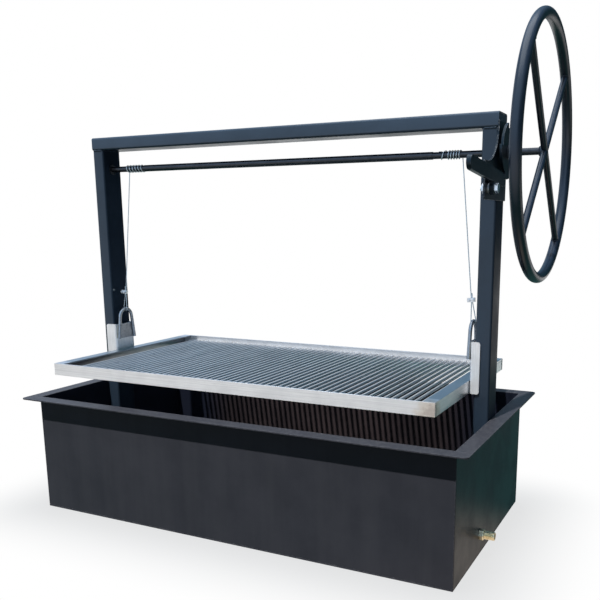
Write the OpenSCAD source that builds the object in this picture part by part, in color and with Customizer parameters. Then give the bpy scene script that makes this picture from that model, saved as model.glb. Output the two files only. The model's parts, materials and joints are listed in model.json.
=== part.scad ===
// Drop-in charcoal grill: firebox, lift frame, handwheel winch with ratchet, cable-lifted round-bar grate.
// Millimetres, +Z up. Origin at the centre of the firebox underside. The handwheel is at +X, the front at -Y.

/* [Firebox] */
// Outside length of the firebox
box_l = 1200; // [1160:10:1300]
// Outside depth of the firebox
box_d = 600; // [560:10:680]
// Height from the underside to the top of the flange
box_h = 321; // [290:1:330]
// Thickness of the sheet steel
sheet = 4; // [3:0.5:5]
// Width of the flange outside the walls
flange_w = 35; // [20:1:50]
// Corner radius of the flange
flange_r = 12; // [6:1:16]

/* [Lift frame] */
// Width of a post, along the shaft
post_w = 38; // [34:1:44]
// Depth of a post, front to back
post_d = 72; // [60:1:76]
// Wall thickness of the posts and the beam
tube_wall = 3; // [2:0.5:4]
// Outer corner radius of the posts and the beam
tube_r = 6; // [5:0.5:8]
// Height of the top of the beam
frame_h = 1034; // [1010:1:1090]
// Height of the beam
beam_h = 35; // [28:1:40]
// How much deeper the beam is than the posts
beam_lap = 3; // [0:1:10]

/* [Shaft and cables] */
// Radius of the lift shaft
shaft_r = 8; // [7.5:0.5:10]
// Shaft axis below the beam
shaft_drop = 52.5; // [44:0.5:70]
// Wall thickness of the sleeve on the middle of the shaft
sleeve_wall = 1; // [1:0.5:3]
// Radius of a lift cable
cable_r = 1.25; // [1:0.25:1.75]
// Clearance between the wound cable and the shaft
wind_clear = 0.3; // [0.2:0.1:0.6]
// Turns of cable on each end of the shaft
turns = 6; // [4:1:8]
// Lead of the left winding
left_lead = 10.4; // [6:0.2:11]
// Lead of the right winding
right_lead = 6.6; // [5:0.2:8]
// Lead of the right winding's first turn, at its anchor
right_slant = 20; // [8:1:24]
// Distance from a post to where its cable leaves the shaft
drum_gap = 57; // [46:1:70]
// Radial clearance of running fits
fit = 0.05; // [0.02:0.01:0.1]

/* [Handwheel] */
// Radius of the rim's centreline
wheel_r = 280; // [200:1:300]
// Radius of the rim's tube
rim_r = 12.5; // [9:0.5:16]
// Radius of a spoke
spoke_r = 7.5; // [5:0.5:8]
// Angle of the through spoke
spoke_turn = 43; // [0:1:90]
// Distance from the firebox wall to the plane of the wheel
wheel_gap = 92; // [80:1:120]

/* [Ratchet and pawl] */
// Tip radius of the ratchet disc
ratchet_r = 64.5; // [61:0.5:65]
// Depth of a ratchet tooth
tooth_h = 12.5; // [9:0.5:13]
// Number of ratchet teeth
teeth = 5; // [4:1:6]
// Angle of the tooth next to the pawl
tooth_turn = 240; // [239:0.5:243]
// Thickness of the ratchet disc
ratchet_t = 6; // [4:0.5:8]
// Thickness of the pawl lever
pawl_t = 10; // [9:0.5:14]
// Length of the pawl lever in front of its pivot
pawl_front = 192; // [120:1:230]
// Height of the pawl lever's bar
pawl_h = 29; // [26:0.5:29]
// Radius of the pivot bolt
pivot_r = 6; // [4:0.5:7]
// Thickness of the side plate
plate_t = 4; // [3:0.5:6]

/* [Grate] */
// Height of the top of the grate above the flange
grate_rise = 97; // [60:0.5:150]
// Gap between the grate and the firebox wall, front and back
grate_gap = 6; // [4:1:20]
// Height of the rails
rail_h = 32; // [29:1:40]
// Thickness of the rails
rail_t = 4; // [3:0.5:5]
// Width of the legs that carry the bars
seat_w = 30; // [20:1:50]
// Width of the top legs of the side rails
top_w = 30; // [24:1:50]
// Spacing of the bars
bar_pitch = 18.5; // [16:0.25:26]
// Radius of a bar
bar_r = 4.75; // [4:0.25:6]

/* [Guides] */
// Thickness of the guide sleeves
guide_t = 4; // [3:0.5:5]
// Gap between a post and the web of its guide
guide_gap = 7; // [5:0.5:10]
// Gap between a post and the sides of its guide
side_gap = 1; // [0.5:0.25:3]
// Height of the left guide
left_guide_h = 108; // [80:1:140]
// Height of the right guide
right_guide_h = 127; // [90:1:140]
// How far the left guide laps its post
left_lap = 25; // [12:0.5:31]
// How far the right guide laps its post
right_lap = 14; // [12:0.5:31]
// Radius of the hoop rod
hoop_r = 4.75; // [4:0.25:5.25]
// Radius of a hoop's bend, to the centre of its rod
hoop_w = 25; // [20:1:27]
// Angle at which the legs of a hoop spread
hoop_splay = 7.5; // [0:0.5:9]
// Top of a hoop above its guide, to the centre of its rod
hoop_rise = 44; // [38:1:60]
// Thickness of the plate between a hoop and its guide
hoop_plate_t = 3; // [2:0.5:4]
// Clamp of a cable above its hoop
clamp_rise = 52; // [44:1:70]

/* [Fitting] */
// Distance of the fitting in front of the centre
fitting_y = 89; // [60:1:200]
// Height of the fitting
fitting_z = 53; // [40:1:120]
// Radius of the fitting's stub
fitting_r = 10.5; // [9:0.5:11]

/* [Hidden] */
$fn = 64;
EPS = 0.01;

// Lift frame
post_out = box_l / 2 - sheet;
post_in = post_out - post_w;
beam_d = post_d + beam_lap;
beam_z = frame_h - beam_h;

// Shaft line
axis_z = beam_z - shaft_drop;
bore_r = shaft_r + fit;
bush_wall = 4;
bush_r = shaft_r + bush_wall;
bush_flange = 2;
bush_rim = 2;
collar_r = shaft_r + 7;
collar_w = 12;
shaft_left = -post_out - collar_w - 4;
wheel_x = box_l / 2 + wheel_gap;
shaft_right = wheel_x - 3;

// Windings, counted in turns from where the cable leaves the shaft
wind_r = shaft_r + cable_r + wind_clear;
leave_x = post_in - drum_gap;
left_hold_x = -leave_x + turns * left_lead;
right_hold_x = leave_x - (turns - 1) * right_lead - right_slant;
sleeve_gap = 5;
sleeve_left = left_hold_x + sleeve_gap;
sleeve_right = right_hold_x - sleeve_gap - 12;
rings = 24;

// Handwheel
hub_r = shaft_r + 2.5;
hub_l = 10;

// Ratchet and pawl, with y and z counted from the shaft axis
plate_x = post_out + plate_t;
ratchet_x = plate_x + 6;
pawl_x = plate_x + 4;
pivot_y = -120;
pivot_dz = -83;
pawl_slope = -5.3;
pawl_low = 12.5;
lug_r = 15;
head_h = 8;
bolt_hex = 11;
nut_h = 10;

// Grate
grate_x = post_in - guide_gap - guide_t;
grate_y = box_d / 2 - sheet - grate_gap;
grate_top = box_h + grate_rise;
grate_low = grate_top - rail_h;
seat_lift = 6;
seat_z = grate_low + seat_lift;
bar_flat = 0.3;
bar_end = grate_y - rail_t - 0.5;
bar_reach = grate_x - top_w - bar_r - 1;
bar_n = floor(bar_reach / bar_pitch);

// Guides, hoops and cable ends
guide_y = post_d / 2 + side_gap;
guide_bend = 10;
hoop_x = grate_x - hoop_r;
hoop_foot = 44;
leg_top = hoop_w * [cos(hoop_splay), sin(hoop_splay)];
leg_drop = hoop_rise + hoop_foot - hoop_w + leg_top.y;
leg_foot = leg_top + leg_drop * [tan(hoop_splay), -1];
leg_clear = 0.3;
function leg_y(z) = leg_top.x + (leg_top.y - z) * tan(hoop_splay);
leg_root = leg_top + 0.3 * [-sin(hoop_splay), cos(hoop_splay)];
strand = cable_r + 0.1;
eye_r = hoop_r + cable_r + 0.3;
clamp_half = 6;
ubolt_r = 2;
ubolt_w = strand + cable_r + 0.3 + ubolt_r;
saddle_w = 2 * ubolt_w + 9;
saddle_y0 = -9;
saddle_y1 = -cable_r - 0.1;
tail = 10;
left_hoop_z = grate_low + left_guide_h + hoop_rise;
right_hoop_z = grate_low + right_guide_h + hoop_rise;

// Shared shapes

// Rectangle with round corners, centred
module round_rect(w, d, r) {
    square([w, d - 2 * r], center = true);
    square([w - 2 * r, d], center = true);
    for (sx = [-1, 1], sy = [-1, 1])
        translate([sx * (w / 2 - r), sy * (d / 2 - r)])
            circle(r);
}

// Rod along X at a given y and z
module rod_x(x0, x1, r, y = 0, z = 0, fn = $fn)
    translate([x0, y, z])
        rotate([0, 90, 0])
            cylinder(h = x1 - x0, r = r, $fn = fn);

// Ring along X on the shaft line
module ring_x(x0, x1, r, hole)
    difference() {
        rod_x(x0, x1, r, 0, axis_z);
        rod_x(x0 - 1, x1 + 1, hole, 0, axis_z);
    }

// Drawing in y and z, made t thick along +X from x0
module plate_yz(x0, t)
    translate([x0, 0, 0])
        rotate([90, 0, 90])
            linear_extrude(t)
                children();

// Drawing in x and z, made t thick along +Y from y0
module plate_xz(y0, t)
    translate([0, y0 + t, 0])
        rotate([90, 0, 0])
            linear_extrude(t)
                children();

// Rod between two points
module rod(a, b, r) {
    d = b - a;
    translate(a)
        rotate([0, acos(d.z / norm(d)), atan2(d.y, d.x)])
            cylinder(h = norm(d), r = r);
}

// Unit vector
function unit(v) = v / norm(v);

// Six-sided ring of points round p, square to t, with n pointing outwards
function ring(p, t, n, r) = [for (i = [0:5]) p + r * (cos(60 * i) * n + sin(60 * i) * cross(n, t))];

// Unbroken tube through points; outs are the outward directions at the points
module tube(points, outs, r) {
    last = len(points) - 1;
    tangents = [for (i = [0:last]) unit(points[min(i + 1, last)] - points[max(i - 1, 0)])];
    verts = [for (i = [0:last]) each ring(points[i], tangents[i],
        unit(outs[i] - (outs[i] * tangents[i]) * tangents[i]), r)];
    sides = [for (i = [0:last - 1], k = [0:5])
        [6 * i + k, 6 * i + (k + 1) % 6, 6 * i + 6 + (k + 1) % 6, 6 * i + 6 + k]];
    polyhedron(points = verts, faces = concat([[5, 4, 3, 2, 1, 0]], [for (s = sides) [s[0], s[1], s[2]]],
        [for (s = sides) [s[0], s[2], s[3]]], [[for (k = [0:5]) 6 * last + k]]));
}

// Least gap between turns of a tube, over points more than half a turn apart
function least_gap(points, r) = min([for (i = [0:len(points) - 1], j = [i + rings / 2 : len(points) - 1])
    norm(points[i] - points[j])]) - 2 * r;

// Firebox

// Front or back wall, full length, at the given outer side
module long_wall(y0)
    color("#33343a")
        translate([-box_l / 2, y0, sheet])
            cube([box_l, sheet, box_h - sheet]);

// End wall between the long walls
module end_wall(x0)
    color("#2b2d31")
        translate([x0, sheet - box_d / 2, sheet])
            cube([sheet, box_d - 2 * sheet, box_h - sheet]);

// Flange along a long wall, with round outer corners
module long_flange(side)
    color("#3a3d44")
        translate([0, 0, box_h - sheet])
            linear_extrude(sheet)
                intersection() {
                    round_rect(box_l + 2 * flange_w, box_d + 2 * flange_w, flange_r);
                    translate([0, side * (box_d + flange_w) / 2])
                        square([box_l + 2 * flange_w + 2, flange_w], center = true);
                }

// Flange along an end wall
module end_flange(x0)
    color("#3a3d44")
        translate([x0, -box_d / 2, box_h - sheet])
            cube([flange_w, box_d, sheet]);

module firebox_floor()
    color("#26272b")
        translate([-box_l / 2, -box_d / 2, 0])
            cube([box_l, box_d, sheet]);

module firebox_front() long_wall(-box_d / 2);

module firebox_back() long_wall(box_d / 2 - sheet);

module firebox_left() end_wall(-box_l / 2);

module firebox_right()
    difference() {
        end_wall(box_l / 2 - sheet);
        rod_x(post_out - 1, box_l / 2 + 1, fitting_r + fit, -fitting_y, fitting_z);
    }

module flange_front() long_flange(-1);

module flange_back() long_flange(1);

module flange_left() end_flange(-box_l / 2 - flange_w);

module flange_right() end_flange(box_l / 2);

// Lift frame

// Rectangular tube section
module tube_section(w, d)
    difference() {
        round_rect(w, d, tube_r);
        round_rect(w - 2 * tube_wall, d - 2 * tube_wall, tube_r - tube_wall / 2);
    }

// Post centred on x, standing on the firebox floor, bored for its shaft bush
module post(x)
    color("#2c3440")
        difference() {
            translate([x, 0, sheet])
                linear_extrude(beam_z - sheet)
                    tube_section(post_w, post_d);
            rod_x(x - post_w, x + post_w, bush_r + fit, 0, axis_z);
        }

// Screws in the posts: one on the front of the right post, one on the inner face of the left post
screw_r = 2;
screw_inset = 9;
right_screw_drop = 78;
left_screw_rise = 178;
right_screw = [post_in + screw_inset, -post_d / 2, axis_z - right_screw_drop];
left_screw = [-post_in, -post_d / 2 + screw_inset, grate_top + left_screw_rise];

module left_post()
    difference() {
        post(-post_out + post_w / 2);
        rod_x(left_screw.x - tube_wall - 1, left_screw.x + 1, screw_r + fit, left_screw.y, left_screw.z);
    }

module right_post()
    difference() {
        post(post_out - post_w / 2);
        translate(right_screw - [0, 1, 0])
            rotate([-90, 0, 0])
                cylinder(h = tube_wall + 2, r = screw_r + fit);
    }

module top_beam()
    color("#404a5a")
        translate([0, 0, beam_z + beam_h / 2])
            plate_yz(-post_out, 2 * post_out)
                tube_section(beam_d, beam_h);

module beam_end_caps()
    color("#2c3440")
        for (x = [-post_out, post_out - tube_wall])
            translate([0, 0, beam_z + beam_h / 2])
                plate_yz(x, tube_wall)
                    round_rect(beam_d - 2 * tube_wall - 2 * fit, beam_h - 2 * tube_wall - 2 * fit,
                        tube_r - tube_wall / 2);

// Flanged bush through a post; side is 1 on the right
module shaft_bush(side)
    color("#3c4046")
        mirror([side < 0 ? 1 : 0, 0, 0])
            difference() {
                union() {
                    rod_x(post_in, post_out, bush_r, 0, axis_z);
                    rod_x(post_in - bush_flange, post_in, bush_r + bush_rim, 0, axis_z);
                }
                rod_x(post_in - 10, post_out + 10, bore_r, 0, axis_z);
            }

module left_shaft_bush() shaft_bush(-1);

module right_shaft_bush() shaft_bush(1);

// Plate on the outer face of the right post, with a hollow curve in its front edge
plate_rear = 32;
plate_front = -152;
plate_top = 67;
plate_low = -107;
curve_r = 85;
curve_y = -129;
curve_z = 60;

module side_plate()
    color("#2c3440")
        difference() {
            translate([0, 0, axis_z])
                plate_yz(post_out, plate_t)
                    difference() {
                        translate([plate_front, plate_low])
                            square([plate_rear - plate_front, plate_top - plate_low]);
                        translate([curve_y, curve_z])
                            circle(curve_r, $fn = 128);
                        translate([plate_front - 1, curve_z - curve_r])
                            square([curve_y - plate_front + 1, 2 * curve_r]);
                        translate([plate_front - 1, curve_z])
                            square([curve_y + curve_r - plate_front + 1, curve_r]);
                    }
            rod_x(post_out - 1, plate_x + 1, shaft_r + 1, 0, axis_z);
            rod_x(post_out - 1, plate_x + 1, pivot_r + fit, pivot_y, axis_z + pivot_dz);
        }

// Hexagon along X on the pivot line
module pivot_hex(x0, x1) rod_x(x0, x1, bolt_hex, pivot_y, axis_z + pivot_dz, 6);

module pivot_bolt()
    color("#d0d3d6") {
        rod_x(post_out - nut_h - 3, pawl_x + pawl_t + 0.2, pivot_r, pivot_y, axis_z + pivot_dz);
        pivot_hex(pawl_x + pawl_t + 0.2, pawl_x + pawl_t + 0.2 + head_h);
    }

module pivot_nut()
    color("#d0d3d6")
        difference() {
            pivot_hex(post_out - nut_h, post_out);
            rod_x(post_out - nut_h - 1, post_out + 1, pivot_r + fit, pivot_y, axis_z + pivot_dz);
        }

module pivot_spacer()
    color("#b5b8bb")
        difference() {
            rod_x(plate_x, pawl_x - 0.2, bolt_hex, pivot_y, axis_z + pivot_dz);
            rod_x(plate_x - 1, pawl_x + 1, pivot_r + fit, pivot_y, axis_z + pivot_dz);
        }

// One screw with a round head, pointing along -Z from its seat
module screw() {
    cylinder(h = 2.5, r1 = 4, r2 = 3);
    translate([0, 0, -tube_wall - 2])
        cylinder(h = tube_wall + 2 + EPS, r = screw_r);
}

module post_screws()
    color("#2c3440") {
        translate(right_screw)
            rotate([90, 0, 0])
                screw();
        translate(left_screw)
            rotate([0, 90, 0])
                screw();
    }

// Fitting through the right wall

fitting_end = 37;
fitting_hex = fitting_r + 3.4;
fitting_lock = fitting_r + 6.8;
fitting_seat = 11;

module fitting_body()
    color("#b08d4a")
        difference() {
            union() {
                rod_x(post_out - 12, box_l / 2 + fitting_end, fitting_r, -fitting_y, fitting_z);
                rod_x(box_l / 2, box_l / 2 + fitting_seat, fitting_hex, -fitting_y, fitting_z, 6);
            }
            rod_x(post_out - 20, box_l / 2 + fitting_end + 1, fitting_r - 2.5, -fitting_y, fitting_z);
        }

module fitting_nut()
    color("#b08d4a")
        difference() {
            rod_x(post_out - 9, post_out, fitting_lock, -fitting_y, fitting_z, 6);
            rod_x(post_out - 10, post_out + 1, fitting_r + fit, -fitting_y, fitting_z);
        }

// Shaft line

module lift_shaft()
    color("#3c4046")
        rod_x(shaft_left, shaft_right, shaft_r, 0, axis_z);

module shaft_sleeve()
    color("#4a4f57")
        ring_x(sleeve_left, sleeve_right, bore_r + sleeve_wall, bore_r);

// Place along the shaft after k turns from where the cable leaves
function left_x(k) = k * left_lead - leave_x;
function right_x(k) = leave_x - min(k, turns - 1) * right_lead - max(k - turns + 1, 0) * right_slant;

// Where a cable leaves the shaft, at the back, and the top of its clamp
function leave_point(side) = [side * leave_x, wind_r, axis_z];
function hoop_z(side) = side < 0 ? left_hoop_z : right_hoop_z;
function eye_tilt(side) = atan((hoop_x - leave_x) / (axis_z - hoop_z(side)));
function cable_foot(side) = let (t = eye_tilt(side), h = clamp_rise + clamp_half)
    [side * (hoop_x - strand * cos(t) - h * sin(t)), 0, hoop_z(side) + h * cos(t) - strand * sin(t)];
function cable_way(side) = unit(cable_foot(side) - leave_point(side));
function cable_head(side) = leave_point(side) + 2 * cable_r * cable_way(side);

// Points of a winding from its anchor, round the shaft, to a straight end where the cable hangs
function wind_x(side, k) = side < 0 ? left_x(k) : right_x(k);
function wind_point(side, k) = [wind_x(side, k), wind_r * cos(360 * k), axis_z + wind_r * sin(360 * k)];
function wind_points(side) = concat([wind_point(side, turns) + [0, 0, 2 * cable_r]],
    [for (i = [turns * rings : -1 : 0]) wind_point(side, i / rings)], [cable_head(side)]);
function wind_outs(side) = concat([[0, 1, 0]],
    [for (i = [turns * rings : -1 : 0]) [0, cos(360 * i / rings), sin(360 * i / rings)]], [[0, 1, 0]]);

module left_winding()
    color("#b9bdc2")
        tube(wind_points(-1), wind_outs(-1), cable_r);

module right_winding()
    color("#b9bdc2")
        tube(wind_points(1), wind_outs(1), cable_r);

echo(left_winding_gap = least_gap(wind_points(-1), cable_r));
echo(right_winding_gap = least_gap(wind_points(1), cable_r));

// Blocks on the shaft that hold the inner ends of the windings
module cable_anchors()
    color("#9a9fa6")
        difference() {
            for (side = [-1, 1])
                translate([wind_x(side, turns) - 4, shaft_r - 5, axis_z + 2 * cable_r])
                    cube([8, wind_r - shaft_r + 5 + cable_r + 2, 7]);
            rod_x(shaft_left, shaft_right, shaft_r + fit / 2, 0, axis_z);
        }

// Saw-tooth disc: each steep face looks back, against the pull of the cables
steps = 8;
pitch = 360 / teeth;

module ratchet_disc()
    color("#7d828a")
        difference() {
            translate([0, 0, axis_z])
                plate_yz(ratchet_x, ratchet_t)
                    polygon([for (i = [0:teeth - 1], j = [0:steps])
                        let (a = tooth_turn + pitch * (i + j / steps))
                        (ratchet_r - tooth_h * j / steps) * [cos(a), sin(a)]]);
            rod_x(ratchet_x - 1, ratchet_x + ratchet_t + 1, bore_r, 0, axis_z);
        }

module ratchet_collar()
    color("#3c4046")
        ring_x(ratchet_x + ratchet_t, ratchet_x + ratchet_t + collar_w, collar_r, bore_r);

// Collar outside the left post, with its set screw
collar_x = -post_out - collar_w - 1;

module shaft_collar()
    color("#3c4046")
        difference() {
            ring_x(collar_x, collar_x + collar_w, collar_r, bore_r);
            translate([collar_x + collar_w / 2, 0, axis_z])
                cylinder(h = collar_r + 1, r = 3 + fit);
        }

module collar_screw()
    color("#d0d3d6")
        translate([collar_x + collar_w / 2, 0, axis_z + bore_r])
            cylinder(h = collar_r - bore_r - 0.5, r = 3);

// Handwheel

// Rim as a ring about the shaft line; grow makes it a cutter
module rim(grow = 0)
    translate([wheel_x, 0, axis_z])
        rotate([0, 90, 0])
            rotate_extrude($fn = 96)
                translate([wheel_r, 0])
                    circle(rim_r + grow, $fn = 48);

// Hub cylinder; grow makes it a cutter
module hub_body(grow = 0) rod_x(wheel_x - hub_l, wheel_x + grow, hub_r + grow, 0, axis_z);

// Spoke from radius r0 to the rim's centreline at an angle from +Y
module spoke(angle, r0, grow = 0)
    translate([wheel_x, 0, axis_z])
        rotate([angle - 90, 0, 0])
            translate([0, 0, r0])
                cylinder(h = wheel_r - r0, r = spoke_r + grow);

module wheel_rim()
    color("#16181c")
        rim();

module wheel_hub()
    color("#16181c")
        difference() {
            hub_body();
            rod_x(wheel_x - hub_l - 1, wheel_x + 1, bore_r, 0, axis_z);
        }

module spoke_through()
    color("#16181c")
        difference() {
            spoke(spoke_turn, -wheel_r);
            hub_body(fit);
            rim(fit);
        }

// Spoke that meets the through spoke
module half_spoke(angle)
    color("#16181c")
        difference() {
            spoke(angle, 0);
            spoke(spoke_turn, -wheel_r / 4, fit);
            hub_body(fit);
            rim(fit);
        }

module spoke_upper() half_spoke(spoke_turn + 90);

module spoke_lower() half_spoke(spoke_turn - 90);

// Pawl lever: a bar on a lug, with a tooth at its rear end; u runs to the rear along the bar, from the pivot
pawl_top = pawl_low + pawl_h;
pawl_bend = pawl_h / 2 - pawl_front;
pawl_outline = [[pawl_bend, pawl_low], [75.5, pawl_low], [75.5, pawl_top - 14.5], [83.5, pawl_top - 8],
    [62, pawl_top], [pawl_bend, pawl_top]];

module pawl_lever()
    color("#202226")
        difference() {
            translate([0, pivot_y, axis_z + pivot_dz])
                rotate([pawl_slope, 0, 0])
                    plate_yz(pawl_x, pawl_t) {
                        polygon(pawl_outline);
                        translate([pawl_bend, pawl_low + pawl_h / 2])
                            circle(pawl_h / 2);
                        circle(lug_r);
                        translate([-lug_r + 2, 0])
                            square([2 * lug_r - 4, pawl_low + 4]);
                    }
            rod_x(pawl_x - 1, pawl_x + pawl_t + 1, pivot_r + fit, pivot_y, axis_z + pivot_dz);
        }

// Grate

// Front rail: upright leg, and a leg near its foot that carries the bars
module rail_front()
    color("#d9dadc") {
        translate([-grate_x, -grate_y, grate_low])
            cube([2 * grate_x, rail_t, rail_h]);
        translate([rail_t - grate_x, rail_t - grate_y - EPS, seat_z])
            cube([2 * grate_x - 2 * rail_t, seat_w - rail_t + EPS, rail_t]);
    }

module rail_back()
    mirror([0, 1, 0])
        rail_front();

// Side rail: upright leg, and a leg at its top that covers the ends of the seats
module rail_right()
    color("#c9ccd1") {
        translate([grate_x - rail_t, rail_t - grate_y, grate_low])
            cube([rail_t, 2 * grate_y - 2 * rail_t, rail_h]);
        translate([grate_x - top_w, rail_t - grate_y, grate_top - rail_t])
            cube([top_w - rail_t + EPS, 2 * grate_y - 2 * rail_t, rail_t]);
    }

module rail_left()
    mirror([1, 0, 0])
        rail_right();

// Round bars, flat underneath where they are welded to the seats
module grate_bars()
    color("#b9bdc3")
        difference() {
            for (i = [-bar_n : bar_n])
                translate([i * bar_pitch, bar_end, seat_z + rail_t + bar_r - bar_flat])
                    rotate([90, 0, 0])
                        cylinder(h = 2 * bar_end, r = bar_r);
            translate([-grate_x, -grate_y, seat_z])
                cube([2 * grate_x, 2 * grate_y, rail_t]);
        }

// Guide sleeve: a channel round the right post, h high, lapping the post by lap
module guide(h, lap) {
    end_x = post_in + lap;
    color("#cfd2d6")
        intersection() {
            translate([0, 0, grate_low])
                linear_extrude(h)
                    difference() {
                        intersection() {
                            translate([end_x, 0])
                                round_rect(2 * (end_x - grate_x), 2 * (guide_y + guide_t), guide_bend);
                            translate([grate_x, -2 * post_d])
                                square([end_x - grate_x, 4 * post_d]);
                        }
                        translate([end_x, 0])
                            round_rect(2 * (end_x - grate_x - guide_t), 2 * guide_y, guide_bend - guide_t);
                    }
            translate([(grate_x + end_x) / 2, 0, grate_low + h / 2])
                plate_xz(-post_d, 2 * post_d)
                    round_rect(end_x - grate_x, h, 6);
        }
}

module left_guide()
    mirror([1, 0, 0])
        guide(left_guide_h, left_lap);

module right_guide() guide(right_guide_h, right_lap);

// Plate on the web of a guide, between the legs of its hoop; heights are from the centre of the bend
module hoop_plate(side) {
    top = hoop_w - hoop_rise;
    low = top - hoop_foot;
    inset = hoop_r / cos(hoop_splay) + leg_clear;
    half_top = leg_y(top) - inset;
    half_low = leg_y(low) - inset;
    color("#b4b8bd")
        translate([0, 0, hoop_z(side) - hoop_w])
            plate_yz(side > 0 ? grate_x - hoop_plate_t : -grate_x, hoop_plate_t)
                polygon([[-half_low, low], [half_low, low], [half_top, top], [-half_top, top]]);
}

module left_hoop_plate() hoop_plate(-1);

module right_hoop_plate() hoop_plate(1);

// Hoop of bent rod with spread legs; leg_top and leg_foot are in y and z from the centre of the bend
module hoop(side)
    color("#a9adb3")
        translate([side * hoop_x, 0, hoop_z(side) - hoop_w]) {
            rotate([90, 0, 90])
                rotate([0, 0, hoop_splay])
                    rotate_extrude(angle = 180 - 2 * hoop_splay)
                        translate([hoop_w, 0])
                            circle(hoop_r, $fn = 32);
            for (s = [-1, 1])
                rod([0, s * leg_foot.x, leg_foot.y], [0, s * leg_root.x, leg_root.y],
                    hoop_r - 2 * EPS, $fn = 32);
        }

module left_hoop() hoop(-1);

module right_hoop() hoop(1);

// Cable ends

// Loop of cable under a hoop, both strands going up through the clamp, one of them on to a free tail
eye_rise = clamp_rise - clamp_half;
eye_lean = asin(eye_r / norm([eye_rise, strand])) - atan(strand / eye_rise);
eye_sweep = 180 + 2 * eye_lean;
eye_points = concat([[strand, 0, eye_rise + 2 * clamp_half + tail], [strand, 0, eye_rise]],
    [for (i = [0:rings]) let (a = eye_lean - eye_sweep * i / rings) eye_r * [cos(a), 0, sin(a)]],
    [[-strand, 0, eye_rise], [-strand, 0, eye_rise + 2 * clamp_half]]);

module eye(side)
    color("#b9bdc2")
        translate([side * hoop_x, 0, hoop_z(side)])
            rotate([0, -side * eye_tilt(side), 0])
                mirror([side < 0 ? 1 : 0, 0, 0])
                    tube(eye_points, [for (p = eye_points) [0, 1, 0]], cable_r);

module left_eye() eye(-1);

module right_eye() eye(1);

// Repeats what follows at both clamps
module at_clamps()
    for (side = [-1, 1])
        translate([side * hoop_x, 0, hoop_z(side)])
            rotate([0, -side * eye_tilt(side), 0])
                translate([0, 0, clamp_rise])
                    children();

module clamp_saddles()
    color("#c3c7cb")
        at_clamps()
            difference() {
                translate([-saddle_w / 2, saddle_y0, -clamp_half + 1])
                    cube([saddle_w, saddle_y1 - saddle_y0, 2 * clamp_half - 2]);
                for (s = [-1, 1])
                    translate([s * ubolt_w, saddle_y1 + 1, 0])
                        rotate([90, 0, 0])
                            cylinder(h = 20, r = ubolt_r + fit, $fn = 24);
            }

module clamp_u_bolts()
    color("#c3c7cb")
        at_clamps() {
            rotate_extrude(angle = 180)
                translate([ubolt_w, 0])
                    circle(ubolt_r, $fn = 24);
            for (s = [-1, 1])
                translate([s * ubolt_w, 0, 0])
                    rotate([90, 0, 0])
                        cylinder(h = 5 - saddle_y0, r = ubolt_r, $fn = 24);
        }

module clamp_nuts()
    color("#c3c7cb")
        at_clamps()
            for (s = [-1, 1])
                translate([s * ubolt_w, saddle_y0, 0])
                    rotate([90, 0, 0])
                        difference() {
                            cylinder(h = 3.5, r = 4, $fn = 6);
                            translate([0, 0, -1])
                                cylinder(h = 6, r = ubolt_r + fit, $fn = 24);
                        }

// Straight cable from the shaft to its clamp
module lift_cable(side)
    color("#b9bdc2")
        rod(cable_head(side), cable_foot(side), cable_r, $fn = 24);

module left_lift_cable() lift_cable(-1);

module right_lift_cable() lift_cable(1);

firebox_floor();
firebox_front();
firebox_back();
firebox_left();
firebox_right();
flange_front();
flange_back();
flange_left();
flange_right();
left_post();
right_post();
top_beam();
beam_end_caps();
left_shaft_bush();
right_shaft_bush();
side_plate();
pivot_bolt();
pivot_nut();
pivot_spacer();
post_screws();
fitting_body();
fitting_nut();
lift_shaft();
shaft_sleeve();
left_winding();
right_winding();
cable_anchors();
ratchet_disc();
ratchet_collar();
shaft_collar();
collar_screw();
wheel_rim();
wheel_hub();
spoke_through();
spoke_upper();
spoke_lower();
pawl_lever();
rail_front();
rail_back();
rail_left();
rail_right();
grate_bars();
left_guide();
right_guide();
left_hoop_plate();
right_hoop_plate();
left_hoop();
right_hoop();
left_eye();
right_eye();
clamp_saddles();
clamp_u_bolts();
clamp_nuts();
left_lift_cable();
right_lift_cable();
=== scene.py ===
"""Looks of a drop-in charcoal grill: painted firebox and frame, handwheel winch, stainless grate."""
import json
import math

import bmesh
import bpy
from mathutils import Matrix, Vector


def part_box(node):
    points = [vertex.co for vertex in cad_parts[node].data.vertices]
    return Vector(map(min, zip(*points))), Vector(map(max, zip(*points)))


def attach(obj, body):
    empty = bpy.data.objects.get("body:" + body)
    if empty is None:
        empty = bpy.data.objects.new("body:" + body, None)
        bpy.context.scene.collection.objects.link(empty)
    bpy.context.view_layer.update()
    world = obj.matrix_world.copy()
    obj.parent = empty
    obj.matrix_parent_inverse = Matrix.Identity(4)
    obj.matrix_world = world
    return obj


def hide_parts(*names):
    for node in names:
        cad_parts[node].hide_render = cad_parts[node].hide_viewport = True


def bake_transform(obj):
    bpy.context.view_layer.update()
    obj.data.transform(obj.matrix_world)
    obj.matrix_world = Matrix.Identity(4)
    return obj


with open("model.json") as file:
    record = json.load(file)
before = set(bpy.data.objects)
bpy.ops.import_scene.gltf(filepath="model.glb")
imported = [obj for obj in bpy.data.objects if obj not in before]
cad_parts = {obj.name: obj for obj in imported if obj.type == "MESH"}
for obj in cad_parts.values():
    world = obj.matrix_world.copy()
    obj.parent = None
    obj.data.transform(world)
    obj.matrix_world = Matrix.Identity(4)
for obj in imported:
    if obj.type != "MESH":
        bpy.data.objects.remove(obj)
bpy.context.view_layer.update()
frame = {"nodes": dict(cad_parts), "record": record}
RECORD = frame["record"]
BODY_OF = {node: body for body, names in RECORD["behaviour"]["bodies"].items() for node in names}
SLOT_OF = {part["node"]: part["material_slot"] for part in RECORD["subparts"]}
MM = 0.001


def span(node):
    """Lowest and highest corner of a CAD node as vectors, in metres."""
    low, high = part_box(node)
    return Vector(low), Vector(high)


# Places read from the frame

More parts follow.
